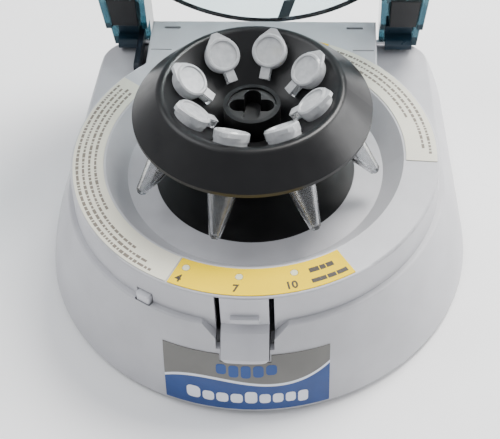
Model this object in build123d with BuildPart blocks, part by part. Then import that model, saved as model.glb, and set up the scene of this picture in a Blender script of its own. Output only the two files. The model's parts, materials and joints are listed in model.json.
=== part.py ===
"""Small bench-top laboratory centrifuge with an eight-place angle rotor and a hinged clear lid.

Millimetres, +Z up, the operator's side at -Y.  The origin is on the bench, below the centre of
the machine's outline as it stands with its lid open.  Heights are measured from the bench and
plan positions from the rotor's axis, which stands AXIS_Y from the origin.
"""
import math
import os

from build123d import *

# ---- driving dimensions -------------------------------------------------------------------
RING_Z = 49.0            # top of the label ring and of the rear deck
LEDGE_Z = 36.4           # ledge and rear shoulders that the lid closes on
FLOOR_Z = 41.2           # floor of the rotor bowl
SKIRT_Z = 2.0            # lower edge of the housing
FOOT_R = 8.0
FOOT_HEIGHT = 2.8
WALL = 2.4               # moulded wall of the housing
EDGE_R = 0.9             # rounding of the housing's upper edges

# plan of the lower body at three heights: height, front radius, rear half width, rear y
PLAN_FOOT = (SKIRT_Z, 80.0, 75.3, 81.0)
PLAN_WAIST = (19.2, 76.0, 71.8, 79.8)
PLAN_LEDGE = (LEDGE_Z, 69.5, 66.0, 77.4)
REAR_CORNER_R = 12.0
RING_OUTER_R = 66.9
RING_INNER_R = 54.1
BOWL_R = 46.9
DISC_R = 36.6            # black disc in the bowl's floor
DISC_SEAT_R = 34.0
DISC_SEAT_Z = 40.1
LEDGE_INNER_R = 67.5
DECK_HALF = 45.5         # half width of the raised rear deck
DECK_REAR_Y = 75.4
PANEL_Y = 76.0           # flat panel at the back that holds the sockets
PANEL_HALF = 46.0
PANEL_Z = (8.0, 31.0)
CONTROL_Z = 20.0         # height of the controls on that panel
INLET_X = 22.0
INLET_BODY = (21.0, 12.0)
SWITCH_X = -23.0
SWITCH_BODY = (19.0, 12.2)
BUTTON_R = 4.0

HINGE_Y = 72.5
HINGE_Z = 40.0
PIN_R = 1.5
LID_R = 70.0
LID_WALL = 2.2
LID_GAP = 0.3
LID_SHOULDER_Z = 58.0    # where the lid's upright wall starts to turn in
LID_SHOULDER_R = 27.3
LID_SHOULDER_ANGLE = 66.4
LEG_INNER_X = 46.9
LEG_REAR_X = 62.6
LEG_ROOF_Z = 52.0
LEG_SKIRT_Z = 42.8        # lower edge of the legs behind the buffers
HINGE_BLOCK_R = 2.6
ARM_X = (-51.5, -49.3)
ARM_REACH = 20.0
SLOT_X = (-52.6, -46.2)

ROTOR_RIM_R = 42.0
ROTOR_RIM_Z = 70.0
RIDGE_R = 31.3
RIDGE_Z = 81.2
HUB_R = 10.0
HUB_TOP_Z = 72.8
HUB_FOOT_Z = 52.0
TUBE_COUNT = 8
TUBE_TILT = 40.6         # angle between a tube and the rotor's axis
TUBE_CAP_CIRCLE_R = 20.8
TUBE_CAP_Z = 79.8
TUBE_LENGTH = 37.5
FIRST_TUBE_ANGLE = 165.8

SHAFT_R = 1.6
MOTOR_R = 17.5
POST_CIRCLE_R = 26.0
MOTOR_PLATE_Z = (33.2, 35.2)

LAMP_CIRCLE_R = 58.3
LAMP_R = 1.25
LAMP_ANGLES = (-109.9, -91.9, -73.9)
LABEL_THICK = 0.3
LATCH_HALF = 8.1
LATCH_SLOT = 1.8
LATCH_PIVOT_Z = 48.2
NOTCH_Z = 28.0
TAB_CUT_Z = 24.0
PLUNGER_ANGLE = -120.7
PLUNGER_R = 67.8
BOARD_Z = 12.0
BOARD_THICK = 1.6

# ---- worked out from them -----------------------------------------------------------------
LID_BOTTOM = LEDGE_Z + LID_GAP
LID_CORNER_X = LID_R - 0.7 - LID_SHOULDER_R
LID_CROWN_R = LID_SHOULDER_R + LID_CORNER_X / math.cos(math.radians(LID_SHOULDER_ANGLE))
LID_CROWN_Z = LID_SHOULDER_Z - LID_CORNER_X * math.tan(math.radians(LID_SHOULDER_ANGLE))
LID_TOP_Z = LID_CROWN_Z + LID_CROWN_R
AXIS_Y = -(HINGE_Y + LID_TOP_Z - HINGE_Z - PLAN_FOOT[1]) / 2
SPIN_AXIS = Axis((0, AXIS_Y, 0), (0, 0, 1))
LID_AXIS = Axis((0, AXIS_Y, HINGE_Z + HINGE_Y), (0, 1, 0))
CAVITY_TOP = LEDGE_Z - WALL
PLATE_Z = (FOOT_HEIGHT, FOOT_HEIGHT + WALL)
NOTCH_HALF = LATCH_HALF + LATCH_SLOT

os.makedirs("parts", exist_ok=True)


# ---- planes -------------------------------------------------------------------------------
def level(z):
    """Level plane at height z, centred on the rotor's axis."""
    return Plane(origin=(0, AXIS_Y, z), x_dir=(1, 0, 0), z_dir=(0, 0, 1))


def section(angle=0.0):
    """Upright plane through the rotor's axis: local x is the radius, local y the height."""
    a = math.radians(angle)
    return Plane(origin=(0, AXIS_Y, 0), x_dir=(math.cos(a), math.sin(a), 0),
                 z_dir=(math.sin(a), -math.cos(a), 0))


def side(x):
    """Upright plane across the machine at x: local x is y, local y the height."""
    return Plane(origin=(x, AXIS_Y, 0), x_dir=(0, 1, 0), z_dir=(1, 0, 0))


def front(y):
    """Upright plane facing the operator: local x is x, local y the height."""
    return Plane(origin=(0, AXIS_Y + y, 0), x_dir=(1, 0, 0), z_dir=(0, -1, 0))


def lid_level(z):
    """The plane that is level at height z when the lid is shut, where it stands open."""
    return Plane(origin=(0, AXIS_Y + HINGE_Y + z - HINGE_Z, HINGE_Z + HINGE_Y),
                 x_dir=(1, 0, 0), z_dir=(0, 1, 0))


def lid_section():
    """Section plane through the lid's own axis: local x is the radius, local y the shut height."""
    return Plane(origin=(0, AXIS_Y + HINGE_Y - HINGE_Z, HINGE_Z + HINGE_Y),
                 x_dir=(1, 0, 0), z_dir=(0, 0, 1))


def lid_side(x):
    """Plane across the machine at x: local x is the shut y, local y the shut height."""
    return Plane(origin=(x, AXIS_Y + HINGE_Y - HINGE_Z, HINGE_Z + HINGE_Y),
                 x_dir=(0, 0, -1), z_dir=(1, 0, 0))


def tube_frame(index):
    """Centre of a tube's cap, the way out along the cap and the way up along the tube."""
    turn = math.radians(FIRST_TUBE_ANGLE - index * 360 / TUBE_COUNT)
    tilt = math.radians(TUBE_TILT)
    out = Vector(math.cos(turn), math.sin(turn), 0)
    up = Vector(0, 0, 1)
    centre = Vector(0, AXIS_Y, TUBE_CAP_Z) + out * TUBE_CAP_CIRCLE_R
    return centre, out * math.cos(tilt) + up * math.sin(tilt), up * math.cos(tilt) - out * math.sin(tilt)


def tube_level(index, height=0.0):
    """Plane square to a tube, height above the top of its cap; local x points outward."""
    centre, outward, along = tube_frame(index)
    return Plane(origin=centre + along * height, x_dir=outward, z_dir=along)


def tube_section(index, offset=0.0):
    """Plane along a tube: local x points outward, local y up the tube."""
    centre, outward, along = tube_frame(index)
    across = outward.cross(along)
    return Plane(origin=centre + across * offset, x_dir=outward, z_dir=across)


# ---- shared shapes ------------------------------------------------------------------------
def polygon(*points):
    """Filled outline through the given corners."""
    Polygon(*points, align=None)


def tangent_point(radius, corner_x, corner_y):
    """Where the line from a rear corner touches the front circle."""
    reach = math.hypot(corner_x, corner_y)
    angle = math.atan2(corner_y, corner_x) - math.acos(radius / reach)
    return radius * math.cos(angle), radius * math.sin(angle)


def plan_face(radius, corner_x, corner_y, corner_r=REAR_CORNER_R):
    """Round front, nearly straight sides and rounded rear corners."""
    touch_x, touch_y = tangent_point(radius, corner_x, corner_y)
    with BuildLine() as outline:
        ThreePointArc((touch_x, touch_y), (0, -radius), (-touch_x, touch_y))
        Polyline((-touch_x, touch_y), (-corner_x, corner_y), (corner_x, corner_y),
                 (touch_x, touch_y))
    make_face(outline.edges())
    fillet(vertices().group_by(Axis.Y)[-1], corner_r)


def plan_body(grow=0.0, low=SKIRT_Z, high=LEDGE_Z, mode=Mode.ADD):
    """The flared lower body, grown all round, between two heights."""
    stations = []
    for z, radius, corner_x, corner_y in ((low, *PLAN_FOOT[1:]), PLAN_WAIST, (high, *PLAN_LEDGE[1:])):
        with BuildSketch(level(z)) as station:
            plan_face(radius + grow, corner_x + grow, corner_y + grow, REAR_CORNER_R + grow)
        stations.append(station.sketch)
    loft(stations, mode=mode)


def lathe(*points, start=0.0, arc=360.0, mode=Mode.ADD):
    """Turn an outline of (radius, height) corners about the rotor's axis."""
    with BuildSketch(section(start)) as profile:
        polygon(*points)
    revolve(profile.sketch, axis=SPIN_AXIS, revolution_arc=arc, mode=mode)


def ring(inner, outer, z, start=0.0, arc=360.0, mode=Mode.ADD):
    """Flat ring or sector about the rotor's axis, between two heights."""
    lathe((inner, z[0]), (outer, z[0]), (outer, z[1]), (inner, z[1]), start=start, arc=arc, mode=mode)


def block(x, y, z, mode=Mode.ADD):
    """Square block from three (low, high) pairs."""
    with BuildSketch(level(z[0])) as plan:
        with Locations(((x[0] + x[1]) / 2, (y[0] + y[1]) / 2)):
            Rectangle(x[1] - x[0], y[1] - y[0])
    extrude(plan.sketch, amount=z[1] - z[0], mode=mode)


def rods(points, radius, z, mode=Mode.ADD):
    """Upright round rods at plan positions, between two heights."""
    with BuildSketch(level(z[0])) as plan:
        with Locations(*points):
            Circle(radius)
    extrude(plan.sketch, amount=z[1] - z[0], mode=mode)


def screws(points, head_r, head_z, shank_r, shank_z):
    """Pan-head screws with a crossed drive slot, heads between head_z, shanks between shank_z."""
    rods(points, shank_r, shank_z)
    rods(points, head_r, head_z)
    heads_up = head_z[1] > shank_z[1]
    slot_foot = head_z[1] - 0.5 if heads_up else head_z[0] - 0.1
    with BuildSketch(level(slot_foot)) as drive:
        with Locations(*points):
            Rectangle(1.3 * head_r, 0.3 * head_r)
            Rectangle(0.3 * head_r, 1.3 * head_r)
    extrude(drive.sketch, amount=0.6, mode=Mode.SUBTRACT)


def polar(radius, *angles):
    """Plan positions on a circle about the rotor's axis."""
    return [(radius * math.cos(math.radians(a)), radius * math.sin(math.radians(a)))
            for a in angles]


def write(piece, label):
    """Label a finished piece and save it."""
    piece.part.label = label
    export_step(piece.part, f"parts/{label}.step")


FOOT_POINTS = [(-50, -42), (50, -42), (-55, 46), (55, 46)]
BOSS_POINTS = polar(65.0, -165, -15) + [(-59, 64), (59, 64)]
POST_POINTS = polar(POST_CIRCLE_R, 90, 210, 330)
BOARD_POINTS = [(-36, 48), (36, 48), (-36, 66), (36, 66)]
MOTOR_SCREW_POINTS = [(-10, 0), (10, 0)]
LAMP_POINTS = polar(LAMP_CIRCLE_R, *LAMP_ANGLES)


def plunger_block(width, depth, z, shift=0.0, mode=Mode.ADD):
    """Block square to the ring at the place of the lid plunger."""
    a = math.radians(PLUNGER_ANGLE)
    spot = Plane(origin=(0, AXIS_Y, z[0]), x_dir=(math.cos(a), math.sin(a), 0), z_dir=(0, 0, 1))
    with BuildSketch(spot) as plan:
        with Locations((PLUNGER_R + shift, 0)):
            RectangleRounded(depth, width, 0.6)
    extrude(plan.sketch, amount=z[1] - z[0], mode=mode)


# ---- housing ------------------------------------------------------------------------------
with BuildPart() as latch_notch:
    with BuildSketch(front(-60)):
        polygon((-14.5, LEDGE_Z + 0.5), (-14.5, LEDGE_Z), (-NOTCH_HALF, 31.6), (-NOTCH_HALF, NOTCH_Z),
                (NOTCH_HALF, NOTCH_Z), (NOTCH_HALF, 31.6), (14.5, LEDGE_Z), (14.5, LEDGE_Z + 0.5))
    extrude(amount=30)
    rods([(0, 0)], LEDGE_INNER_R, (20, 60), mode=Mode.SUBTRACT)

with BuildPart() as top_housing:
    plan_body()
    fillet(edges().group_by(Axis.Z)[-1], EDGE_R)
    with BuildSketch(level(LEDGE_Z - 0.5)):
        Circle(LEDGE_INNER_R)
    with BuildSketch(level(RING_Z)):
        Circle(RING_OUTER_R)
    loft(ruled=True)
    block((-DECK_HALF, DECK_HALF), (20, DECK_REAR_Y), (LEDGE_Z - 1, RING_Z))
    fillet(edges().group_by(Axis.Z)[-1], EDGE_R)
    # hollow the lower body, the ring and the deck
    plan_body(grow=-WALL, low=SKIRT_Z - 1, high=CAVITY_TOP, mode=Mode.SUBTRACT)
    rods([(0, 0)], LEDGE_INNER_R - WALL, (CAVITY_TOP - 1, RING_Z - WALL), mode=Mode.SUBTRACT)
    block((WALL - DECK_HALF, DECK_HALF - WALL), (0, DECK_REAR_Y - WALL),
          (CAVITY_TOP - 1, RING_Z - WALL), mode=Mode.SUBTRACT)
    # the bowl that the rotor turns in, with a seat for the black disc
    rods([(0, 0)], RING_INNER_R, (RING_Z - WALL - 1, RING_Z + 1), mode=Mode.SUBTRACT)
    lathe((RING_INNER_R, RING_Z), (BOWL_R, FLOOR_Z), (DISC_R, FLOOR_Z), (DISC_R, DISC_SEAT_Z),
          (DISC_SEAT_R, DISC_SEAT_Z), (DISC_SEAT_R, FLOOR_Z - WALL), (BOWL_R + 1, FLOOR_Z - WALL),
          (RING_INNER_R + 2, RING_Z - WALL), (RING_INNER_R + 2, RING_Z))
    # bosses for the hinge pins and pillars for the screws from below
    with BuildSketch(side(-DECK_HALF)):
        with Locations((HINGE_Y, HINGE_Z)):
            Rectangle(7, 7)
    extrude(amount=6)
    with BuildSketch(side(DECK_HALF)):
        with Locations((HINGE_Y, HINGE_Z)):
            Rectangle(7, 7)
    extrude(amount=-6)
    rods(BOSS_POINTS, 3.2, (PLATE_Z[1], CAVITY_TOP + 0.5))
    rods(BOSS_POINTS, 1.3, (PLATE_Z[1] - 1, PLATE_Z[1] + 14), mode=Mode.SUBTRACT)
    # flat rear panel, set into the back, with its cut-outs
    block((-PANEL_HALF - 1.5, PANEL_HALF + 1.5), (PANEL_Y - WALL, PANEL_Y + 1),
          (PANEL_Z[0] - 2, PANEL_Z[1] + 2))
    block((-PANEL_HALF, PANEL_HALF), (PANEL_Y, PANEL_Y + 12), PANEL_Z, mode=Mode.SUBTRACT)
    with BuildSketch(front(PANEL_Y - WALL - 1)):
        with Locations((INLET_X, CONTROL_Z)):
            Rectangle(INLET_BODY[0] + 0.2, INLET_BODY[1] + 0.2)
        with Locations((SWITCH_X, CONTROL_Z)):
            Rectangle(SWITCH_BODY[0] + 0.2, SWITCH_BODY[1] + 0.2)
        with Locations((0, CONTROL_Z)):
            Circle(BUTTON_R + 0.3)
    extrude(amount=-WALL - 2, mode=Mode.SUBTRACT)
    # wall behind the notch round the latch
    ring(65.1, 69.0, (NOTCH_Z - 2.5, LEDGE_Z), start=-103, arc=26)
    # openings for the latch, the plunger, the lid's arm, its pins and the lamps
    add(latch_notch.part, mode=Mode.SUBTRACT)
    block((-NOTCH_HALF, NOTCH_HALF), (-90, -62), (NOTCH_Z, LATCH_PIVOT_Z + 0.15), mode=Mode.SUBTRACT)
    block((-LATCH_HALF - 0.3, LATCH_HALF + 0.3), (-90, -62), (TAB_CUT_Z, NOTCH_Z), mode=Mode.SUBTRACT)
    plunger_block(6.6, 3.4, (31.6, 40.4), mode=Mode.SUBTRACT)
    block(SLOT_X, (50, 73.9), (CAVITY_TOP - 1, LEDGE_Z + 0.5), mode=Mode.SUBTRACT)
    with BuildSketch(side(-60)):
        with Locations((HINGE_Y, HINGE_Z)):
            Circle(PIN_R)
    extrude(amount=120, mode=Mode.SUBTRACT)
    rods(LAMP_POINTS, LAMP_R, (RING_Z - WALL - 1, RING_Z + 1), mode=Mode.SUBTRACT)
    # two small slots and two shallow marks in the deck
    with BuildSketch(level(RING_Z - WALL - 1)):
        with Locations((-36.9, 70.8), (36.9, 70.8)):
            SlotOverall(6.8, 1.3)
    extrude(amount=WALL + 2, mode=Mode.SUBTRACT)
    with BuildSketch(level(RING_Z - 0.4)):
        with Locations((-40.2, 57), (40.2, 57)):
            SlotOverall(8.5, 0.7)
    extrude(amount=1, mode=Mode.SUBTRACT)
write(top_housing, "top_housing")

with BuildPart() as base_plate:
    with BuildSketch(level(PLATE_Z[0])):
        plan_face(76.9, 72.2, 77.6)
    extrude(amount=WALL)
    rods(POST_POINTS, 3.6, (PLATE_Z[1], 30.6))
    rods(BOARD_POINTS, 2.8, (PLATE_Z[1], BOARD_Z))
    rods(POST_POINTS, 1.5, (16, 31), mode=Mode.SUBTRACT)
    rods(BOARD_POINTS, 1.2, (6, BOARD_Z + 1), mode=Mode.SUBTRACT)
    rods(BOSS_POINTS, 1.7, (PLATE_Z[0] - 1, PLATE_Z[1] + 1), mode=Mode.SUBTRACT)
    rods(BOSS_POINTS, 3.2, (PLATE_Z[0] - 1, PLATE_Z[0] + 0.9), mode=Mode.SUBTRACT)
    rods(FOOT_POINTS, 2.6, (PLATE_Z[0] - 1, PLATE_Z[1] + 1), mode=Mode.SUBTRACT)
    with BuildSketch(level(PLATE_Z[0] - 1)):
        with Locations((0, -38)):
            with GridLocations(7, 1, 7, 1):
                SlotOverall(24, 2.6, rotation=90)
    extrude(amount=WALL + 2, mode=Mode.SUBTRACT)
write(base_plate, "base_plate")

with BuildPart() as rubber_feet:
    with BuildSketch(level(0)):
        with Locations(*FOOT_POINTS):
            Circle(FOOT_R)
    extrude(amount=FOOT_HEIGHT, taper=8)
    rods(FOOT_POINTS, 2.5, (FOOT_HEIGHT, PLATE_Z[1]))
    rods(FOOT_POINTS, 3.4, (PLATE_Z[1], PLATE_Z[1] + 1.4))
write(rubber_feet, "rubber_feet")

with BuildPart() as housing_screws:
    screws(BOSS_POINTS, 2.8, (PLATE_Z[0] - 1.0, PLATE_Z[0] + 0.9), 1.3, (PLATE_Z[0] + 0.9, PLATE_Z[1] + 12))
write(housing_screws, "housing_screws")

with BuildPart() as chamber_disc:
    ring(11.0, DISC_R - 0.1, (DISC_SEAT_Z, FLOOR_Z - 0.1))
write(chamber_disc, "chamber_disc")

with BuildPart() as shaft_seal:
    lathe((2.4, 42.0), (3.2, 42.8), (7.0, 41.6), (11.0, 41.9), (12.4, 41.9), (12.4, 41.2), (11.0, 41.2),
          (11.0, 39.9), (10.2, 39.9), (10.2, 41.0), (7.0, 40.6), (3.0, 41.6))
write(shaft_seal, "shaft_seal")

# ---- labels -------------------------------------------------------------------------------
LABEL_Z = (RING_Z, RING_Z + LABEL_THICK)
LABEL_IN = 54.9
LABEL_OUT = 66.0


def ring_label(start, end):
    """Thin label laid on the ring between two angles."""
    ring(LABEL_IN, LABEL_OUT, LABEL_Z, start=start, arc=end - start)


with BuildPart() as speed_label:
    ring_label(-112.9, -56.6)
    rods(LAMP_POINTS, LAMP_R + 0.15, (RING_Z - 1, RING_Z + 1), mode=Mode.SUBTRACT)
write(speed_label, "speed_label")

with BuildPart() as instruction_label_left:
    ring_label(143.0, 246.6)
write(instruction_label_left, "instruction_label_left")

with BuildPart() as instruction_label_right:
    ring_label(-3.4, 65.8)
write(instruction_label_right, "instruction_label_right")

with BuildPart() as rear_ring_label:
    ring_label(66.2, 86.0)
write(rear_ring_label, "rear_ring_label")

with BuildPart() as front_badge:
    plan_body(grow=0.35)
    plan_body(grow=0.02, mode=Mode.SUBTRACT)
    block((-28.5, 28.5), (-90, -50), (3.0, 26.3), mode=Mode.INTERSECT)
    block((-LATCH_HALF - 0.7, LATCH_HALF + 0.7), (-90, -50), (TAB_CUT_Z - 0.4, 40), mode=Mode.SUBTRACT)
write(front_badge, "front_badge")

with BuildPart() as speed_lamps:
    rods(LAMP_POINTS, LAMP_R - 0.03, (RING_Z - WALL - 0.6, RING_Z + LABEL_THICK))
    rods(LAMP_POINTS, LAMP_R + 0.7, (RING_Z - WALL - 1.4, RING_Z - WALL - 0.05))
write(speed_lamps, "speed_lamps")

# ---- motor and drive ----------------------------------------------------------------------
CAN_TOP = MOTOR_PLATE_Z[0]
CAN_FOOT = 9.6
CAN_WALL = 1.2

with BuildPart() as motor_plate:
    ring(5.0, 31.0, MOTOR_PLATE_Z)
    rods(POST_POINTS, 2.4, (MOTOR_PLATE_Z[0] - 1, MOTOR_PLATE_Z[1] + 1), mode=Mode.SUBTRACT)
    rods(MOTOR_SCREW_POINTS, 1.35, (MOTOR_PLATE_Z[0] - 1, MOTOR_PLATE_Z[1] + 1), mode=Mode.SUBTRACT)
write(motor_plate, "motor_plate")

with BuildPart() as motor_grommets:
    rods(POST_POINTS, 4.6, (30.7, MOTOR_PLATE_Z[0]))
    rods(POST_POINTS, 2.3, (MOTOR_PLATE_Z[0], MOTOR_PLATE_Z[1]))
    rods(POST_POINTS, 4.6, (MOTOR_PLATE_Z[1], 36.4))
    rods(POST_POINTS, 1.6, (30, 37), mode=Mode.SUBTRACT)
write(motor_grommets, "motor_grommets")

with BuildPart() as motor_plate_screws:
    screws(POST_POINTS, 3.0, (36.45, 38.0), 1.45, (20, 36.45))
write(motor_plate_screws, "motor_plate_screws")

with BuildPart() as motor_can:
    lathe((4.5, CAN_TOP), (MOTOR_R, CAN_TOP), (MOTOR_R, CAN_FOOT), (MOTOR_R - CAN_WALL, CAN_FOOT),
          (MOTOR_R - CAN_WALL, CAN_TOP - 1.4), (7.0, CAN_TOP - 1.4), (7.0, CAN_TOP - 4.0),
          (4.5, CAN_TOP - 4.0))
    rods(MOTOR_SCREW_POINTS, 1.1, (CAN_TOP - 3, CAN_TOP + 1), mode=Mode.SUBTRACT)
write(motor_can, "motor_can")

with BuildPart() as motor_screws:
    screws(MOTOR_SCREW_POINTS, 2.2, (MOTOR_PLATE_Z[1], MOTOR_PLATE_Z[1] + 1.3), 1.1,
           (CAN_TOP - 1.8, MOTOR_PLATE_Z[1]))
write(motor_screws, "motor_screws")

with BuildPart() as motor_end_cap:
    ring(4.5, MOTOR_R - CAN_WALL - 0.05, (8.2, 11.6))
    ring(4.5, MOTOR_R, (8.2, CAN_FOOT))
write(motor_end_cap, "motor_end_cap")

with BuildPart() as motor_bearings:
    ring(SHAFT_R + 0.02, 4.5, (8.4, 11.4))
    ring(SHAFT_R + 0.02, 4.5, (CAN_TOP - 3.9, CAN_TOP - 0.6))
write(motor_bearings, "motor_bearings")

with BuildPart() as motor_magnets:
    for start in (-70, 110):
        ring(13.6, MOTOR_R - CAN_WALL - 0.02, (15.0, 28.6), start=start, arc=140)
write(motor_magnets, "motor_magnets")

with BuildPart() as motor_brushes:
    block((4.4, 10.4), (-1.2, 1.2), (12.3, 14.8))
    block((-10.4, -4.4), (-1.2, 1.2), (12.3, 14.8))
write(motor_brushes, "motor_brushes")

with BuildPart() as motor_shaft:
    rods([(0, 0)], SHAFT_R, (7.4, 62.0))
write(motor_shaft, "motor_shaft")

with BuildPart() as armature_core:
    ring(SHAFT_R, 13.0, (17.0, 26.5))
    for start in (5, 125, 245):
        ring(5.0, 11.6, (16, 28), start=start, arc=80, mode=Mode.SUBTRACT)
        ring(11.0, 14.0, (16, 28), start=start + 36, arc=8, mode=Mode.SUBTRACT)
write(armature_core, "armature_core")

with BuildPart() as armature_windings:
    for start in (7, 127, 247):
        ring(5.3, 11.3, (15.8, 27.8), start=start, arc=76)
write(armature_windings, "armature_windings")

with BuildPart() as commutator:
    ring(SHAFT_R, 4.2, (12.0, 15.4))
    for start in (0, 120, 240):
        ring(3.8, 5.0, (11, 16), start=start, arc=6, mode=Mode.SUBTRACT)
write(commutator, "commutator")


def key_cross(length, width, z, mode=Mode.ADD):
    """Crossed key or socket with round ends."""
    with BuildSketch(level(z[0])) as plan:
        SlotOverall(length, width)
        SlotOverall(length, width, rotation=90)
    extrude(plan.sketch, amount=z[1] - z[0], mode=mode)


DRIVE_SEAT_Z = HUB_FOOT_Z - 0.3
HUB_BORE_R = 7.8          # the drive's key passes up through this bore
KEY_Z = (57.8, 66.5)

with BuildPart() as drive_hub:
    lathe((0, 44.0), (5.0, 44.0), (5.0, 47.6), (9.0, 48.6), (HUB_R, 49.4), (HUB_R, DRIVE_SEAT_Z),
          (HUB_BORE_R - 0.1, DRIVE_SEAT_Z), (HUB_BORE_R - 0.1, KEY_Z[0]), (0, KEY_Z[0]))
    key_cross(15.0, 5.4, KEY_Z)
    rods([(0, 0)], SHAFT_R, (43, 62), mode=Mode.SUBTRACT)
write(drive_hub, "drive_hub")

# ---- rotor --------------------------------------------------------------------------------
RIDGE_RISE = 0.9          # the sharp corner stands this much above the rounded ridge
FUNNEL_SLOPE = math.tan(math.radians(TUBE_TILT))
TUBE_SEAT = -4.92         # flat seat for a tube's collar, below the top of its cap
FUNNEL_FOOT_Z = RIDGE_Z + RIDGE_RISE - FUNNEL_SLOPE * (RIDGE_R - HUB_R)

with BuildPart() as rotor_shell:
    with BuildSketch(section()) as rotor_profile:
        polygon((HUB_BORE_R, HUB_FOOT_Z), (10.6, HUB_FOOT_Z), (14.7, ROTOR_RIM_Z - 12.3),
                (35.0, ROTOR_RIM_Z + 5.0), (36.6, ROTOR_RIM_Z + 4.8), (40.2, ROTOR_RIM_Z + 1.2),
                (40.2, ROTOR_RIM_Z), (ROTOR_RIM_R, ROTOR_RIM_Z), (ROTOR_RIM_R, ROTOR_RIM_Z + 1.4),
                (RIDGE_R, RIDGE_Z + RIDGE_RISE), (HUB_R, FUNNEL_FOOT_Z), (HUB_R, HUB_TOP_Z),
                (8.5, HUB_TOP_Z), (8.5, 58.1), (HUB_BORE_R, 58.1))
        fillet(vertices().group_by(Axis.Y)[-1], 2.4)
    revolve(axis=SPIN_AXIS)
    for tube_index in range(TUBE_COUNT):
        with BuildSketch(tube_level(tube_index, TUBE_SEAT)):
            Circle(6.5)
        extrude(amount=6, mode=Mode.SUBTRACT)
        with BuildSketch(tube_level(tube_index, TUBE_SEAT + 1)):
            Circle(5.6)
        extrude(amount=-32, mode=Mode.SUBTRACT)
write(rotor_shell, "rotor_shell")

with BuildPart() as rotor_hub_insert:
    ring(0, 8.4, (58.2, HUB_TOP_Z - 0.8))
    key_cross(15.6, 6.0, (58, HUB_TOP_Z), mode=Mode.SUBTRACT)
write(rotor_hub_insert, "rotor_hub_insert")


def microtube(index):
    """Conical tube with its snap cap, pull tab and moulded hinge strap, hollow inside."""
    centre, outward, along = tube_frame(index)
    with BuildPart() as tube:
        with BuildSketch(tube_section(index)):
            polygon((0, -0.95), (4.7, -0.95), (5.0, -0.4), (5.7, -0.4), (6.2, -0.9), (6.2, -3.5),
                    (5.9, -3.5), (5.9, -4.9), (5.35, -4.9), (5.35, -20.5), (2.0, 0.9 - TUBE_LENGTH),
                    (1.2, -TUBE_LENGTH), (0, -TUBE_LENGTH))
        revolve(axis=Axis(centre, along))
        with BuildSketch(tube_section(index)):
            polygon((0, -3.6), (4.4, -3.6), (4.4, -20.2), (1.1, 1.6 - TUBE_LENGTH), (0, 1.2 - TUBE_LENGTH))
        revolve(axis=Axis(centre, along), mode=Mode.SUBTRACT)
        with BuildSketch(tube_level(index, -1.0)):
            polygon((1.5, -5.9), (4.5, -4.6), (8.2, -1.0), (8.2, 1.0), (4.5, 4.6), (1.5, 5.9))
        extrude(amount=-1.4)
        with BuildSketch(tube_section(index, -1.7)):
            polygon((-5.5, -1.2), (-10.1, -1.2), (-10.1, -4.4), (-5.6, -4.4), (-5.6, -3.7),
                    (-9.4, -3.7), (-9.4, -1.9), (-5.5, -1.9))
        extrude(amount=3.4)
    return tube


for tube_index in range(TUBE_COUNT):
    write(microtube(tube_index), f"microtube_{tube_index + 1}")

# ---- latch, plunger and switches ----------------------------------------------------------
CATCH_Z = (37.8, 39.6)
TAB_FOOT_Z = TAB_CUT_Z + 0.9

with BuildPart() as lid_latch:
    with BuildSketch(section(-98)):
        polygon((66.9, LATCH_PIVOT_Z), (67.3, 35.0), (70.2, 33.6), (76.2, 26.6), (76.2, TAB_FOOT_Z),
                (74.8, TAB_FOOT_Z), (69.4, 31.0), (65.2, 32.6), (65.2, LATCH_PIVOT_Z))
    revolve(axis=SPIN_AXIS, revolution_arc=16)
    with BuildSketch(front(-50)) as tab_outline:
        with Locations((0, TAB_FOOT_Z + 14)):
            RectangleRounded(2 * LATCH_HALF, 28, 2.5)
    extrude(tab_outline.sketch, amount=40, mode=Mode.INTERSECT)
    block((-4.8, 4.8), (-68.9, -66.5), CATCH_Z)
write(lid_latch, "lid_latch")

with BuildPart() as lid_plunger:
    plunger_block(5.4, 2.6, (33.5, 39.6))
    fillet(edges().group_by(Axis.Z)[-1], 0.5)
    plunger_block(7.4, 3.2, (31.2, 33.8), shift=-2.4)
write(lid_plunger, "lid_plunger")

ARM_TIP_Z = HINGE_Z - ARM_REACH
ARM_SWITCH_Z = (7.0, ARM_TIP_Z - 1.4)

with BuildPart() as lid_microswitch:
    block((-53.0, -46.8), (56, 72), ARM_SWITCH_Z)
    block((-51.8, -48.0), (68.5, 71.5), (ARM_SWITCH_Z[1], ARM_SWITCH_Z[1] + 0.9))
    block((-52.5, -47.3), (57, 71), (PLATE_Z[1], ARM_SWITCH_Z[0]))
write(lid_microswitch, "lid_microswitch")

with BuildPart() as power_inlet:
    with BuildSketch(front(PANEL_Y)):
        with Locations((INLET_X, CONTROL_Z)):
            RectangleRounded(INLET_BODY[0] + 3, INLET_BODY[1] + 2.5, 2)
    extrude(amount=-1.5)
    with BuildSketch(front(PANEL_Y)):
        with Locations((INLET_X, CONTROL_Z)):
            Rectangle(*INLET_BODY)
    extrude(amount=16)
    with BuildSketch(front(PANEL_Y + 2)):
        with Locations((INLET_X, CONTROL_Z)):
            SlotOverall(17.2, 8.2)
    extrude(amount=13.4, mode=Mode.SUBTRACT)
write(power_inlet, "power_inlet")

with BuildPart() as inlet_pins:
    with BuildSketch(front(PANEL_Y - 1.6)):
        with Locations((INLET_X - 4.3, CONTROL_Z), (INLET_X + 4.3, CONTROL_Z)):
            Circle(1.2)
    extrude(amount=9.8)
write(inlet_pins, "inlet_pins")

ROCKER_Y = PANEL_Y - 3.0
WELL = (15.4, 10.2)

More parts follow.
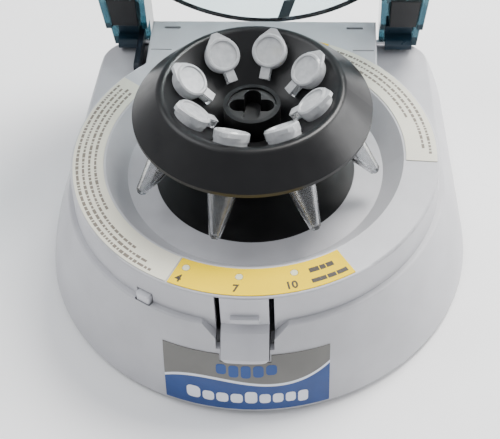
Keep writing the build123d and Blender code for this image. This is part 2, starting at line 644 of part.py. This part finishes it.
with BuildPart() as power_switch_body:
    with BuildSketch(front(PANEL_Y)):
        with Locations((SWITCH_X, CONTROL_Z)):
            RectangleRounded(SWITCH_BODY[0] + 2.4, SWITCH_BODY[1] + 2.2, 1)
    extrude(amount=-1.5)
    with BuildSketch(front(PANEL_Y)):
        with Locations((SWITCH_X, CONTROL_Z)):
            Rectangle(*SWITCH_BODY)
    extrude(amount=14)
    with BuildSketch(front(PANEL_Y + 2)):
        with Locations((SWITCH_X, CONTROL_Z)):
            Rectangle(*WELL)
    extrude(amount=10, mode=Mode.SUBTRACT)
    with BuildSketch(side(SWITCH_X - 8.6)):
        with Locations((ROCKER_Y, CONTROL_Z)):
            Circle(0.9)
    extrude(amount=17.2, mode=Mode.SUBTRACT)
write(power_switch_body, "power_switch_body")

ROCKER_TILT = 9.0
rocker_out = (0, math.cos(math.radians(ROCKER_TILT)), -math.sin(math.radians(ROCKER_TILT)))
rocker_plane = Plane(origin=(SWITCH_X, AXIS_Y + ROCKER_Y, CONTROL_Z), x_dir=rocker_out,
                     z_dir=(1, 0, 0))

with BuildPart() as power_rocker:
    with BuildSketch(rocker_plane):
        polygon((-2.5, -2.6), (2.6, -4.2), (4.6, -4.2), (2.9, 0), (4.6, 4.2), (2.6, 4.2), (-2.5, 2.6))
    extrude(amount=7.4, both=True)
    with BuildSketch(rocker_plane):
        Circle(0.85)
    extrude(amount=8.4, both=True)
write(power_rocker, "power_rocker")

with BuildPart() as speed_button:
    with BuildSketch(front(PANEL_Y + 1.8)):
        with Locations((0, CONTROL_Z)):
            Circle(BUTTON_R)
    extrude(amount=5.2)
    fillet(edges().group_by(Axis.Y)[-1], 0.8)
    with BuildSketch(front(PANEL_Y - WALL - 0.2)):
        with Locations((0, CONTROL_Z)):
            Circle(BUTTON_R + 1)
    extrude(amount=1)
write(speed_button, "speed_button")

with BuildPart() as button_switch:
    block((-3.1, 3.1), (64.0, 68.4), (CONTROL_Z - 3.1, CONTROL_Z + 3.1))
    for leg_x in (-2.6, 2.6):
        block((leg_x - 0.3, leg_x + 0.3), (65.0, 66.0), (BOARD_Z + BOARD_THICK, CONTROL_Z - 3.1))
    with BuildSketch(front(69.4)):
        with Locations((0, CONTROL_Z)):
            Circle(1.6)
    extrude(amount=1)
write(button_switch, "button_switch")

with BuildPart() as control_board:
    block((-40, 40), (44.5, 69.5), (BOARD_Z, BOARD_Z + BOARD_THICK))
    rods(BOARD_POINTS, 1.6, (BOARD_Z - 1, BOARD_Z + 3), mode=Mode.SUBTRACT)
write(control_board, "control_board")

BOARD_TOP = BOARD_Z + BOARD_THICK

with BuildPart() as board_components:
    block((4, 18), (46, 58), (BOARD_TOP, BOARD_TOP + 11))
    rods([(-8, 52)], 4.5, (BOARD_TOP, BOARD_TOP + 11))
    block((-26, -18), (50, 55), (BOARD_TOP, BOARD_TOP + 1.6))
    block((24, 32), (48, 53), (BOARD_TOP, BOARD_TOP + 6))
write(board_components, "board_components")

with BuildPart() as board_screws:
    screws(BOARD_POINTS, 2.3, (BOARD_TOP, BOARD_TOP + 1.3), 1.2, (BOARD_TOP - 7, BOARD_TOP))
write(board_screws, "board_screws")

with BuildPart() as hinge_pins:
    for pin_start, pin_length in ((40.5, 14.3), (-40.5, -14.3)):
        with BuildSketch(side(pin_start)):
            with Locations((HINGE_Y, HINGE_Z)):
                Circle(PIN_R)
        extrude(amount=pin_length)
write(hinge_pins, "hinge_pins")

# ---- lid, standing open -------------------------------------------------------------------
PIN_HOLE_R = PIN_R + 0.06


def lid_profile(inset, foot_z):
    """Half section of the dome as a filled shape, drawn in by inset all round."""
    angle = math.radians(LID_SHOULDER_ANGLE)
    corner = LID_SHOULDER_R - inset
    crown = LID_CROWN_R - inset
    wall_r = LID_CORNER_X + corner
    turn = (LID_CORNER_X + corner * math.cos(angle), LID_SHOULDER_Z + corner * math.sin(angle))
    with BuildLine() as outline:
        foot = Line((0, foot_z), (LID_R - inset, foot_z))
        wall = Line(foot @ 1, (wall_r, LID_SHOULDER_Z))
        shoulder = RadiusArc(wall @ 1, turn, -corner)
        top = RadiusArc(shoulder @ 1, (0, LID_CROWN_Z + crown), -crown)
        Line(top @ 1, (0, foot_z))
    make_face(outline.edges())


def lid_box(x, y, z, mode=Mode.ADD):
    """Square block given in the shut lid's own position."""
    with BuildSketch(lid_level(z[0])) as plan:
        with Locations(((x[0] + x[1]) / 2, (y[0] + y[1]) / 2)):
            Rectangle(abs(x[1] - x[0]), y[1] - y[0])
    extrude(plan.sketch, amount=z[1] - z[0], mode=mode)


LEG_REAR_Y = HINGE_Y + 3.3
LEG_TOUCH = tangent_point(LID_R, LEG_REAR_X, LEG_REAR_Y)
BUFFER_Y = (49.0, 62.0)


def leg_outline(sign, inset=0.0):
    """Plan of one lid leg, from the dome back to the hinge."""
    polygon((sign * (LEG_INNER_X + inset), 30), (sign * (LEG_INNER_X + inset), LEG_REAR_Y - inset),
            (sign * (LEG_REAR_X - inset), LEG_REAR_Y - inset),
            (sign * (LEG_TOUCH[0] - inset), LEG_TOUCH[1]), (sign * 55, LEG_TOUCH[1]))


with BuildPart() as lid_shell:
    with BuildSketch(lid_section()):
        lid_profile(0, LID_BOTTOM)
    revolve(axis=LID_AXIS)
    for leg_sign in (-1, 1):
        with BuildSketch(lid_level(LID_BOTTOM)):
            leg_outline(leg_sign)
        extrude(amount=LEG_ROOF_Z - LID_BOTTOM)
    # hollow of the dome
    with BuildSketch(lid_section()):
        lid_profile(LID_WALL, LID_BOTTOM - 1)
    revolve(axis=LID_AXIS, mode=Mode.SUBTRACT)
    # hollow of the legs
    for leg_sign in (-1, 1):
        with BuildSketch(lid_level(LID_BOTTOM - 1)):
            leg_outline(leg_sign, LID_WALL)
            Circle(LID_R, mode=Mode.SUBTRACT)
        extrude(amount=LEG_ROOF_Z - LID_WALL - LID_BOTTOM + 1, mode=Mode.SUBTRACT)
    # the legs end higher than the dome behind the buffers
    lid_box((-70, 70), (BUFFER_Y[1] + 0.8, 90), (LID_BOTTOM - 2, LEG_SKIRT_Z), mode=Mode.SUBTRACT)
    # the rear of the dome stands clear of the raised deck
    lid_box((-LEG_INNER_X, LEG_INNER_X), (10, 90), (LID_BOTTOM - 2, RING_Z + 0.6), mode=Mode.SUBTRACT)
    # window for the catch and notch over the plunger
    lid_box((-5.3, 5.3), (-80, -60), (CATCH_Z[0] - 0.3, CATCH_Z[1] + 0.4), mode=Mode.SUBTRACT)
    with BuildSketch(lid_level(LID_BOTTOM - 1)):
        with PolarLocations(LID_R - 1, 1, start_angle=PLUNGER_ANGLE):
            Rectangle(8, 7.4)
    extrude(amount=39.6 + 0.5 - LID_BOTTOM + 1, mode=Mode.SUBTRACT)
write(lid_shell, "lid_shell")

for side_name, sign in (("left", -1), ("right", 1)):
    with BuildPart() as lid_buffer:
        with BuildSketch(lid_level(LID_BOTTOM + 0.3)):
            polygon((sign * 50.6, BUFFER_Y[0]), (sign * 50.6, BUFFER_Y[1]),
                    (sign * 61.4, BUFFER_Y[1]), (sign * 62.7, BUFFER_Y[0]))
        extrude(amount=LEG_ROOF_Z - LID_WALL - LID_BOTTOM - 0.3)
        fillet(edges().group_by(Axis.Y)[0], 0.6)
    write(lid_buffer, f"lid_buffer_{side_name}")

for side_name, start_x, width in (("left", -60.2, 8.2), ("right", 49.4, 10.8)):
    with BuildPart() as hinge_block:
        with BuildSketch(lid_side(start_x)) as block_side:
            polygon((66.0, LEG_SKIRT_Z), (66.0, LEG_ROOF_Z - LID_WALL), (73.4, LEG_ROOF_Z - LID_WALL),
                    (73.4, HINGE_Z), (HINGE_Y - HINGE_BLOCK_R, HINGE_Z), (HINGE_Y - HINGE_BLOCK_R, LEG_SKIRT_Z))
            with Locations((HINGE_Y, HINGE_Z)):
                Circle(HINGE_BLOCK_R)
                Circle(PIN_HOLE_R, mode=Mode.SUBTRACT)
        extrude(block_side.sketch, amount=width)
    write(hinge_block, f"lid_hinge_block_{side_name}")

with BuildPart() as lid_cam_arm:
    with BuildSketch(lid_side(ARM_X[0])):
        with BuildLine():
            Polyline((HINGE_Y - 4.2, ARM_TIP_Z + 1.5), (HINGE_Y - 4.6, HINGE_Z + 8),
                     (HINGE_Y + 1.0, HINGE_Z + 8), (HINGE_Y + 1.0, HINGE_Z),
                     (HINGE_Y - 0.2, ARM_TIP_Z + 1.0))
            ThreePointArc((HINGE_Y - 0.2, ARM_TIP_Z + 1.0), (HINGE_Y - 2.2, ARM_TIP_Z),
                          (HINGE_Y - 4.2, ARM_TIP_Z + 1.5))
        make_face()
    extrude(amount=ARM_X[1] - ARM_X[0])
    with BuildSketch(lid_side(ARM_X[0] - 1)):
        with Locations((HINGE_Y, HINGE_Z)):
            Circle(PIN_HOLE_R)
    extrude(amount=ARM_X[1] - ARM_X[0] + 2, mode=Mode.SUBTRACT)
write(lid_cam_arm, "lid_cam_arm")

print("rotor axis at y", round(AXIS_Y, 3), "lid top, shut", round(LID_TOP_Z, 3))
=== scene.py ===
"""Looks of the small bench-top centrifuge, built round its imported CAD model.

Metres, in the CAD model's own frame: +Z up, the operator's side at -Y.
"""

import json
import math
import random

import bmesh
import bpy
from mathutils import Matrix, Vector
from mathutils.bvhtree import BVHTree


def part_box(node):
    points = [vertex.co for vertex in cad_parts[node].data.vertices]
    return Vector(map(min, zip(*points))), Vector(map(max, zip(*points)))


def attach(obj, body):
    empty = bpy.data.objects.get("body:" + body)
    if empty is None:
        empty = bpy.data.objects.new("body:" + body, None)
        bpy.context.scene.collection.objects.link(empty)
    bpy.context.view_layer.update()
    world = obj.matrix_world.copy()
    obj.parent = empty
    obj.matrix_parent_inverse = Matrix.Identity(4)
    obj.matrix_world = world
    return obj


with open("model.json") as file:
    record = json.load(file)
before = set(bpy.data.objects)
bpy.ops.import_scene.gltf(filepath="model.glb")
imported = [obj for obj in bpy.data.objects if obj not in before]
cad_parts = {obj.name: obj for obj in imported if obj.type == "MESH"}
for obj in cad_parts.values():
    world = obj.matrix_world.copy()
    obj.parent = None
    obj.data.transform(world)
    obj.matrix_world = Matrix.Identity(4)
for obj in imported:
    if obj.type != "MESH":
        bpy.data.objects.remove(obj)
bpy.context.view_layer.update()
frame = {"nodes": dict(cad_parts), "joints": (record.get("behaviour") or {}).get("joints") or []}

MM = 0.001
NODES = frame["nodes"]
JOINTS = {joint["name"]: joint for joint in frame["joints"]}
SPIN = Vector(JOINTS["spindle_spin"]["pos_m"])
HINGE = Vector(JOINTS["lid_hinge"]["pos_m"])
LABEL_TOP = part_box("instruction_label_left")[1].z
BODY_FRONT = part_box("top_housing")[0].y
random.seed(7)


# ---- materials ----------------------------------------------------------------------------
class Look:
    """A node material under construction: one Principled shader and the patterns that feed it."""

    def __init__(self, name, **sockets):
        self.material = bpy.data.materials.new(name)
        self.material.use_nodes = True
        self.tree = self.material.node_tree
        self.shader = self.tree.nodes["Principled BSDF"]
        self.coord = self.tree.nodes.new("ShaderNodeTexCoord").outputs["Object"]
        self.bumps = None
        for socket, value in sockets.items():
            self.shader.inputs[socket.replace("_", " ")].default_value = value

    def node(self, kind, inputs=(), **settings):
        made = self.tree.nodes.new(kind)
        for setting, value in settings.items():
            setattr(made, setting, value)
        for socket, value in dict(inputs).items():
            if isinstance(value, bpy.types.NodeSocket):
                self.tree.links.new(value, made.inputs[socket])
            else:
                made.inputs[socket].default_value = value
        return made

    def noise(self, size, detail=2.0, stretch=(1, 1, 1), rough=0.5):
        """Cloudy pattern with features of about that size, in metres."""
        place = self.node("ShaderNodeMapping", {"Vector": self.coord, "Scale": stretch})
        made = self.node("ShaderNodeTexNoise", {"Vector": place.outputs[0], "Scale": 1 / size,
                                                "Detail": detail, "Roughness": rough})
        return made.outputs["Fac"]

    def ramp(self, value, low, high, to_low=0.0, to_high=1.0):
        """Value rescaled and clamped between two ends."""
        made = self.node("ShaderNodeMapRange", {"Value": value, "From Min": low, "From Max": high,
                                                "To Min": to_low, "To Max": to_high})
        return made.outputs[0]

    def maths(self, operation, a, b=0.0, c=0.0):
        made = self.node("ShaderNodeMath", {0: a, 1: b, 2: c}, operation=operation)
        return made.outputs[0]

    def xyz(self):
        return self.node("ShaderNodeSeparateXYZ", {0: self.coord}).outputs

    def mix(self, factor, a, b):
        """Colour a where the factor is 0, b where it is 1."""
        made = self.node("ShaderNodeMix", data_type="RGBA")
        for socket, value in ((made.inputs[0], factor), (made.inputs[6], a), (made.inputs[7], b)):
            if isinstance(value, bpy.types.NodeSocket):
                self.tree.links.new(value, socket)
            else:
                socket.default_value = (*value, 1)[:4] if socket.type == "RGBA" else value
        return made.outputs[2]

    def colour(self, value):
        self.tree.links.new(value, self.shader.inputs["Base Color"])

    def feed(self, socket, value):
        self.tree.links.new(value, self.shader.inputs[socket])

    def bump(self, height, depth):
        """Adds a relief of that depth, in metres, on top of the ones before."""
        inputs = {"Height": height, "Distance": depth, "Strength": 1.0}
        if self.bumps:
            inputs["Normal"] = self.bumps
        self.bumps = self.node("ShaderNodeBump", inputs).outputs[0]
        self.feed("Normal", self.bumps)


def moulded(name, colour, rough, grain=0.45 * MM, relief=0.012 * MM, tint=0.05, smudge=0.05, **sockets):
    """Moulded plastic or rubber: faint clouding, a fine mould grain and slightly uneven gloss."""
    look = Look(name, **sockets)
    cloud = look.ramp(look.noise(14 * MM, 3), 0.35, 0.65)
    dark = tuple(c * (1 - tint) for c in colour)
    light = tuple(min(1, c * (1 + tint)) for c in colour)
    fleck = look.ramp(look.noise(0.9 * MM, 2), 0.66, 0.74, 0.0, 0.22)
    look.colour(look.mix(fleck, look.mix(cloud, dark, light), tuple(c * (1 - 3 * tint) for c in colour)))
    wear = look.ramp(look.noise(7 * MM, 4, rough=0.6), 0.3, 0.7, rough - smudge, rough + smudge)
    look.feed("Roughness", wear)
    look.bump(look.noise(grain, 2), relief)
    return look


def metal(name, colour, rough, stretch=(1, 1, 1)):
    """Bare or plated metal with fine working marks along one direction."""
    look = Look(name, Metallic=1.0)
    marks = look.noise(0.5 * MM, 3, stretch)
    look.colour(look.mix(look.ramp(marks, 0.3, 0.7), tuple(c * 0.86 for c in colour), colour))
    look.feed("Roughness", look.ramp(look.noise(3 * MM, 3), 0.3, 0.7, rough - 0.07, rough + 0.07))
    look.bump(marks, 0.006 * MM)
    return look


def dress(look, *names):
    """Gives CAD nodes, or pieces, this material."""
    for name in names:
        thing = NODES[name] if name in NODES else bpy.data.objects[name]
        thing.data.materials.clear()
        thing.data.materials.append(look.material)


housing = moulded("housing_plastic", (0.49, 0.49, 0.512), 0.42)
dress(housing, "top_housing", "base_plate")
dress(moulded("latch_plastic", (0.54, 0.54, 0.57), 0.38), "lid_latch")
dress(moulded("plunger_plastic", (0.64, 0.64, 0.67), 0.38), "lid_plunger")
dress(moulded("rubber", (0.018, 0.018, 0.019), 0.62, grain=0.3 * MM), "rubber_feet", "motor_grommets",
      "shaft_seal")
dress(moulded("buffer_rubber", (0.008, 0.0085, 0.010), 0.5), "lid_buffer_left", "lid_buffer_right")
dress(metal("screw_plating", (0.62, 0.62, 0.64), 0.3), "housing_screws", "motor_plate_screws",
      "motor_screws", "board_screws")
dress(metal("ground_steel", (0.72, 0.72, 0.74), 0.22), "hinge_pins", "motor_shaft", "motor_bearings")
dress(metal("sheet_steel", (0.52, 0.53, 0.55), 0.36), "motor_plate", "motor_can")
dress(metal("copper", (0.78, 0.36, 0.17), 0.32), "armature_windings", "commutator")
dress(metal("nickel", (0.74, 0.72, 0.68), 0.2), "inlet_pins")
dress(metal("ferrite", (0.09, 0.09, 0.095), 0.5), "motor_magnets", "armature_core")
dress(moulded("disc_black", (0.006, 0.006, 0.0065), 0.40, relief=0.005 * MM, smudge=0.08), "chamber_disc")
dress(moulded("hub_black", (0.006, 0.006, 0.0065), 0.42), "rotor_hub_insert", "drive_hub", "motor_brushes")
arm_plastic = moulded("arm_plastic", (0.012, 0.016, 0.024), 0.32)
dress(arm_plastic, "lid_cam_arm")
dress(moulded("hinge_block_plastic", (0.010, 0.030, 0.048), 0.3), "lid_hinge_block_left",
      "lid_hinge_block_right")
dress(moulded("socket_black", (0.016, 0.016, 0.017), 0.45), "motor_end_cap", "power_inlet",
      "power_switch_body", "lid_microswitch", "button_switch", "board_components")
dress(moulded("rocker_gloss", (0.012, 0.012, 0.013), 0.2, relief=0.004 * MM, Coat_Weight=0.4), "power_rocker")
dress(moulded("button_plastic", (0.10, 0.10, 0.105), 0.4), "speed_button")
dress(moulded("board_lacquer", (0.02, 0.13, 0.05), 0.25, Coat_Weight=0.5), "control_board")
dress(moulded("lamp_lens", (0.86, 0.80, 0.50), 0.25, Subsurface_Weight=0.2), "speed_lamps")

# rotor: satin black
rotor = moulded("rotor_black", (0.0050, 0.0050, 0.0056), 0.34, relief=0.006 * MM, smudge=0.05,
                Specular_IOR_Level=0.36)
dress(rotor, "rotor_shell")


def printed(name, paper, rough=0.4, **sockets):
    """Printed film: smooth, with a faint paper tone and tiny specks."""
    return moulded(name, paper, rough, grain=0.8 * MM, relief=0.003 * MM, tint=0.025, smudge=0.06,
                   **sockets)


dress(printed("label_cream", (0.68, 0.66, 0.55)), "instruction_label_left", "instruction_label_right")
dress(printed("label_yellow", (0.90, 0.625, 0.0), 0.6, Specular_IOR_Level=0.05), "speed_label",
      "rear_ring_label")

# badge: grey above, blue below, with a white wave between them
badge = Look("badge_print", Roughness=0.33)
across, _, up = badge.xyz()
share = badge.maths("DIVIDE", across, 28.5 * MM)
wave = badge.maths("MULTIPLY_ADD", share, 7.4, 1.4)
wave = badge.maths("MULTIPLY_ADD", badge.maths("MULTIPLY", wave, share), share, 14.5)
wave = badge.maths("MULTIPLY_ADD", share, -3.9, wave)
above = badge.maths("SUBTRACT", badge.maths("DIVIDE", up, MM), wave)
blue = badge.mix(badge.ramp(badge.noise(9 * MM, 2), 0.3, 0.7), (0.002, 0.038, 0.185), (0.003, 0.048, 0.225))
grey = badge.mix(badge.ramp(badge.noise(9 * MM, 2), 0.3, 0.7), (0.135, 0.132, 0.122), (0.155, 0.152, 0.140))
line = badge.mix(badge.ramp(above, -0.05, 0.05), blue, (0.80, 0.83, 0.90))
badge.colour(badge.mix(badge.ramp(above, 0.95, 1.1), line, grey))
badge.bump(badge.noise(0.8 * MM, 2), 0.003 * MM)
dress(badge, "front_badge")

# tubes: milky translucent, whiter at the cap than down the thin body
tube = Look("tube_plastic", Roughness=0.22, IOR=1.49, Subsurface_Weight=0.0)
_, _, height = tube.xyz()
milk = tube.ramp(height, 66 * MM, 74 * MM, 0.97, 0.42)
tube.feed("Transmission Weight", milk)
tube.colour(tube.mix(tube.ramp(tube.noise(2.2 * MM, 3), 0.35, 0.65), (0.66, 0.672, 0.69), (0.80, 0.81, 0.82)))
tube.feed("Roughness", tube.ramp(tube.noise(1.4 * MM, 3), 0.3, 0.7, 0.07, 0.16))
tube.bump(tube.noise(1.1 * MM, 3), 0.004 * MM)
dress(tube, *["microtube_%d" % (i + 1) for i in range(8)])

# lid: clear, tinted blue-green, darker where it is seen edge on; painted shade darkens the legs
lid = Look("lid_clear", IOR=1.5, Transmission_Weight=1.0)
lid_x, _, lid_z = lid.xyz()
clear = lid.mix(lid.ramp(lid.noise(30 * MM, 2), 0.3, 0.7), (0.88, 0.965, 0.975), (0.92, 0.975, 0.98))
beside_deck = lid.ramp(lid.maths("ABSOLUTE", lid_x), 45.5 * MM, 47 * MM)
# painted shade: the legs beside the deck, low down, get a dark colour standing in for the shade in and behind
# them
leg_painted_shade = lid.maths("MULTIPLY", beside_deck, lid.ramp(lid_z, 70 * MM, 62 * MM))
lid.colour(lid.mix(leg_painted_shade, clear, (0.05, 0.095, 0.115)))
lid.feed("Roughness", lid.ramp(lid.noise(12 * MM, 3), 0.3, 0.7, 0.02, 0.07))
absorb = lid.node("ShaderNodeVolumeAbsorption", {"Color": (0.30, 0.72, 0.80, 1), "Density": 95.0})
lid.tree.links.new(absorb.outputs[0], lid.tree.nodes["Material Output"].inputs["Volume"])
dress(lid, "lid_shell")


# ---- pieces -------------------------------------------------------------------------------
def piece(name, mesh, body, look):
    """A new mesh object that rides on a body."""
    made = bpy.data.objects.new(name, mesh)
    bpy.context.scene.collection.objects.link(made)
    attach(made, body)
    made.data.materials.append(look.material)
    return made


def mesh_of(builder, name):
    """Mesh made by a function that fills a bmesh."""
    grid = bmesh.new()
    builder(grid)
    bmesh.ops.recalc_face_normals(grid, faces=grid.faces)
    mesh = bpy.data.meshes.new(name)
    grid.to_mesh(mesh)
    grid.free()
    return mesh


def on_ring(radius, degrees, z=0.0):
    """Point at a radius and angle about the rotor's axis."""
    turn = math.radians(degrees)
    return Vector((SPIN.x + radius * math.cos(turn), SPIN.y + radius * math.sin(turn), z))


def add_plate(grid, corners, place, thick):
    """Thin closed plate: corners in local (x, y) mapped on to the surface by place(x, y, height)."""
    low = [grid.verts.new(place(x, y, -0.3 * thick)) for x, y in corners]
    high = [grid.verts.new(place(x, y, thick)) for x, y in corners]
    grid.faces.new(high)
    grid.faces.new(low[::-1])
    for i in range(len(corners)):
        j = (i + 1) % len(corners)
        grid.faces.new((low[i], low[j], high[j], high[i]))


def line_of_print(grid, radius, start, end, tall, ink=0.03 * MM):
    """A line of small marks standing in for print, along an arc of the ring."""
    at = start
    step = 1 if end > start else -1
    while (end - at) * step > 0:
        wide = random.uniform(0.7, 2.6) * MM
        turn = math.degrees(wide / radius) * step
        high = tall * random.uniform(0.72, 1.0)

        def place(x, y, h, at=at):
            return on_ring(radius + y, at + x, LABEL_TOP + h)
        outline = [(turn * k / 3, -high / 2) for k in range(4)]
        outline += [(turn * k / 3, high / 2) for k in (3, 2, 1, 0)]
        add_plate(grid, outline, place, ink)
        at += turn + math.degrees(0.5 * MM / radius) * step


ink = moulded("print_brown", (0.17, 0.145, 0.115), 0.5, relief=0.002 * MM)


def print_block(name, lines):
    """Several lines of marks as one piece."""
    def build(grid):
        for radius, start, end, tall in lines:
            line_of_print(grid, radius * MM, start, end, tall * MM)
    piece(name, mesh_of(build, name), "base", ink)


print_block("print_left", [(64.4, 147, 241, 1.25), (62.2, 148, 238, 1.1), (60.0, 147, 230, 1.1),
                           (57.8, 148, 211, 1.1)])
print_block("print_right", [(63.6, 62, 0, 1.1), (61.2, 62, 4, 1.1), (58.8, 60, 21, 1.1)])


def text_mesh(name, words, size, thick):
    """Plain raised characters, centred, lying in the local XY plane."""
    curve = bpy.data.curves.new(name, "FONT")
    curve.body = words
    curve.size = size
    curve.extrude = thick / 2
    curve.offset = size * 0.03
    curve.resolution_u = 3
    curve.align_x = "CENTER"
    curve.align_y = "CENTER"
    holder = bpy.data.objects.new(name, curve)
    bpy.context.scene.collection.objects.link(holder)
    bpy.context.view_layer.update()
    mesh = bpy.data.meshes.new_from_object(holder.evaluated_get(bpy.context.evaluated_depsgraph_get()))
    bpy.data.objects.remove(holder)
    return mesh


dark_ink = moulded("print_dark", (0.030, 0.022, 0.010), 0.5, relief=0.002 * MM)


def ring_number(words, degrees, radius, size):
    """A number on the speed scale, reading from the operator's side."""
    mesh = text_mesh("speed_mark_" + words, words, size, 0.06 * MM)
    turn = Matrix.Rotation(math.radians(degrees + 90), 4, "Z")
    mesh.transform(Matrix.Translation(on_ring(radius, degrees, LABEL_TOP + 0.01 * MM)) @ turn)
    piece("speed_mark_" + words, mesh, "base", dark_ink)


for words, degrees in (("4", -110.4), ("7", -92.6), ("10", -75.8)):
    ring_number(words, degrees, 63.3 * MM, 4.2 * MM)


BAR_GAP = 0.35           # degrees between two bars


def scale_caption(grid):
    """Two lines of solid bars in place of the words beside the scale."""
    for radius, start, end, tall in ((59.0, -69.1, -60.3, 1.9), (63.4, -69.6, -57.6, 1.7)):
        at = start
        for share_of_bar in (0.42, 0.26, 0.32):
            turn = (end - start) * share_of_bar - BAR_GAP
            outline = [(turn * k / 4, -tall / 2 * MM) for k in range(5)]
            outline += [(turn * k / 4, tall / 2 * MM) for k in range(4, -1, -1)]
            add_plate(grid, outline, lambda x, y, h, at=at: on_ring(radius * MM + y, at + x, LABEL_TOP + h),
                      0.03 * MM)
            at += turn + BAR_GAP


piece("scale_caption", mesh_of(scale_caption, "scale_caption"), "base", dark_ink)

# position numbers standing up from the rotor's flank, in its own black
FIRST_TUBE_ANGLE = 165.8
TUBE_COUNT = 8
FLANK_R = 37.5 * MM
FLANK_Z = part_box("rotor_shell")[1].z - 6.5 * MM


def position_number(index):
    """The number of one tube's place, beside it on the sloping flank."""
    words = str(index + 1)
    turn = math.radians(FIRST_TUBE_ANGLE - index * 360 / TUBE_COUNT)
    outward = Vector((math.cos(turn), math.sin(turn), 0))
    normal = (outward + Vector((0, 0, 1))).normalized()
    upward = (Vector((0, 0, 1)) - outward).normalized()
    mesh = text_mesh("position_" + words, words, 4.4 * MM, 0.34 * MM)
    spot = Vector((SPIN.x, SPIN.y, FLANK_Z)) + outward * FLANK_R
    facing = Matrix((upward.cross(normal), upward, normal)).transposed().to_4x4()
    mesh.transform(Matrix.Translation(spot) @ facing)
    piece("position_" + words, mesh, "rotor", rotor)


for tube_index in range(TUBE_COUNT):
    position_number(tube_index)


# plain marks on the badge, in place of lettering
badge_tree = BVHTree.FromPolygons([v.co for v in NODES["front_badge"].data.vertices],
                                  [f.vertices for f in NODES["front_badge"].data.polygons])


def on_badge(x, z, height):
    """Point on the badge's face, stood off from it."""
    spot, normal, _, _ = badge_tree.ray_cast(Vector((x, BODY_FRONT - 0.02, z)), Vector((0, 1, 0)))
    return spot + Vector((0, -1, 0)) * height


def rounded_bar(grid, x0, x1, z0, z1):
    """Rounded block lying on the badge."""
    round_r = min(x1 - x0, z1 - z0) * 0.32
    outline = []
    for corner_x, corner_z, start in ((x1, z1, 0), (x0, z1, 90), (x0, z0, 180), (x1, z0, 270)):
        centre_x = corner_x - math.copysign(round_r, corner_x - (x0 + x1) / 2)
        centre_z = corner_z - math.copysign(round_r, corner_z - (z0 + z1) / 2)
        for k in range(5):
            a = math.radians(start + 22.5 * k)
            outline.append(((centre_x + round_r * math.cos(a)) * MM, (centre_z + round_r * math.sin(a)) * MM))
    add_plate(grid, outline, on_badge, 0.07 * MM)


def badge_row(name, look, bars):
    def build(grid):
        for bar in bars:
            rounded_bar(grid, *bar)
    piece(name, mesh_of(build, name), "base", look)


white_ink = moulded("print_white", (0.80, 0.83, 0.90), 0.4, relief=0.002 * MM)
blue_ink = moulded("print_blue", (0.006, 0.060, 0.260), 0.4, relief=0.002 * MM)
badge_row("badge_marks_low", white_ink,
          [(-20.8, -16.0, 6.2, 11.4), (-15.2, -11.2, 6.2, 10.3), (-10.4, -6.2, 6.2, 10.3),
           (-5.4, -1.2, 6.2, 10.3), (-0.4, 3.8, 6.2, 11.4), (4.6, 8.4, 6.2, 10.3),
           (9.2, 12.8, 6.2, 10.3), (13.6, 17.0, 6.2, 10.3), (17.8, 21.2, 5.4, 10.3)])
badge_row("badge_marks_high", blue_ink,
          [(-10.1, -6.6, 18.6, 22.6), (-5.8, -2.4, 17.6, 22.4), (-1.6, 1.8, 17.4, 22.4),
           (2.6, 6.2, 17.8, 22.4), (7.0, 10.7, 18.6, 22.6)])


def lid_strip(grid):
    """Dark strip on the inner face of the lid's rear wall."""
    wall_r = 67.8 * MM
    centre_z = HINGE.z + HINGE.y - SPIN.y

    def place(x, y, height):
        return Vector((x, SPIN.y + y, centre_z - math.sqrt((wall_r - height) ** 2 - x * x)))
    corners = [(5.4, 82.4), (7.0, 82.4), (8.5, 82.4), (10.1, 82.4), (12.6, 93.3), (10.9, 93.3), (9.3, 93.3),
               (7.6, 93.3)]
    add_plate(grid, [(x * MM, y * MM) for x, y in corners], place, 0.2 * MM)


piece("lid_strip", mesh_of(lid_strip, "lid_strip"), "lid", arm_plastic)


# ---- stage --------------------------------------------------------------------------------
def make_floor():
    mesh = mesh_of(lambda grid: bmesh.ops.create_grid(grid, x_segments=2, y_segments=2, size=1.6), "floor")
    floor = bpy.data.objects.new("floor", mesh)
    bpy.context.scene.collection.objects.link(floor)
    look = Look("floor_paper")
    look.colour(look.mix(look.noise(60 * MM, 3), (0.95, 0.95, 0.955), (0.98, 0.98, 0.98)))
    look.feed("Roughness", look.ramp(look.noise(20 * MM, 3), 0.3, 0.7, 0.5, 0.62))
    floor.data.materials.append(look.material)


make_floor()


def area_light(name, place, target, size, power, colour=(1, 1, 1)):
    data = bpy.data.lights.new(name, "AREA")
    data.shape = "DISK"
    data.size = size
    data.energy = power
    data.color = colour
    light = bpy.data.objects.new(name, data)
    light.location = place
    light.rotation_mode = "QUATERNION"
    light.rotation_quaternion = (Vector(place) - Vector(target)).to_track_quat("Z", "Y")
    bpy.context.scene.collection.objects.link(light)


area_light("key", (0.40, 0.50, 0.95), (0, 0, 0.04), 0.5, 21.0, (1.0, 0.985, 0.96))
area_light("fill", (-0.65, 0.15, 0.9), (0, 0, 0.04), 0.8, 6.5, (0.96, 0.98, 1.0))
area_light("low_right", (0.80, 0.24, 0.34), (0, 0, 0.06), 0.6, 7.0)

world = bpy.data.worlds.new("studio")
world.use_nodes = True
world.node_tree.nodes["Background"].inputs["Color"].default_value = (0.93, 0.95, 1.0, 1)
world.node_tree.nodes["Background"].inputs["Strength"].default_value = 0.62
bpy.context.scene.world = world

camera_data = bpy.data.cameras.new("camera")
camera_data.lens = 80.97
camera_data.sensor_width = 36.0
camera = bpy.data.objects.new("camera", camera_data)
camera_right = Vector((0.997842, 0.054451, -0.036701))
camera_up = Vector((-0.016541, 0.749320, 0.662002))
camera_back = Vector((0.063548, -0.659966, 0.748603))
camera.matrix_world = Matrix.Translation((0.02488, -0.31168, 0.33893)) @ Matrix(
    (camera_right, camera_up, camera_back)).transposed().to_4x4()
bpy.context.scene.collection.objects.link(camera)
bpy.context.scene.camera = camera
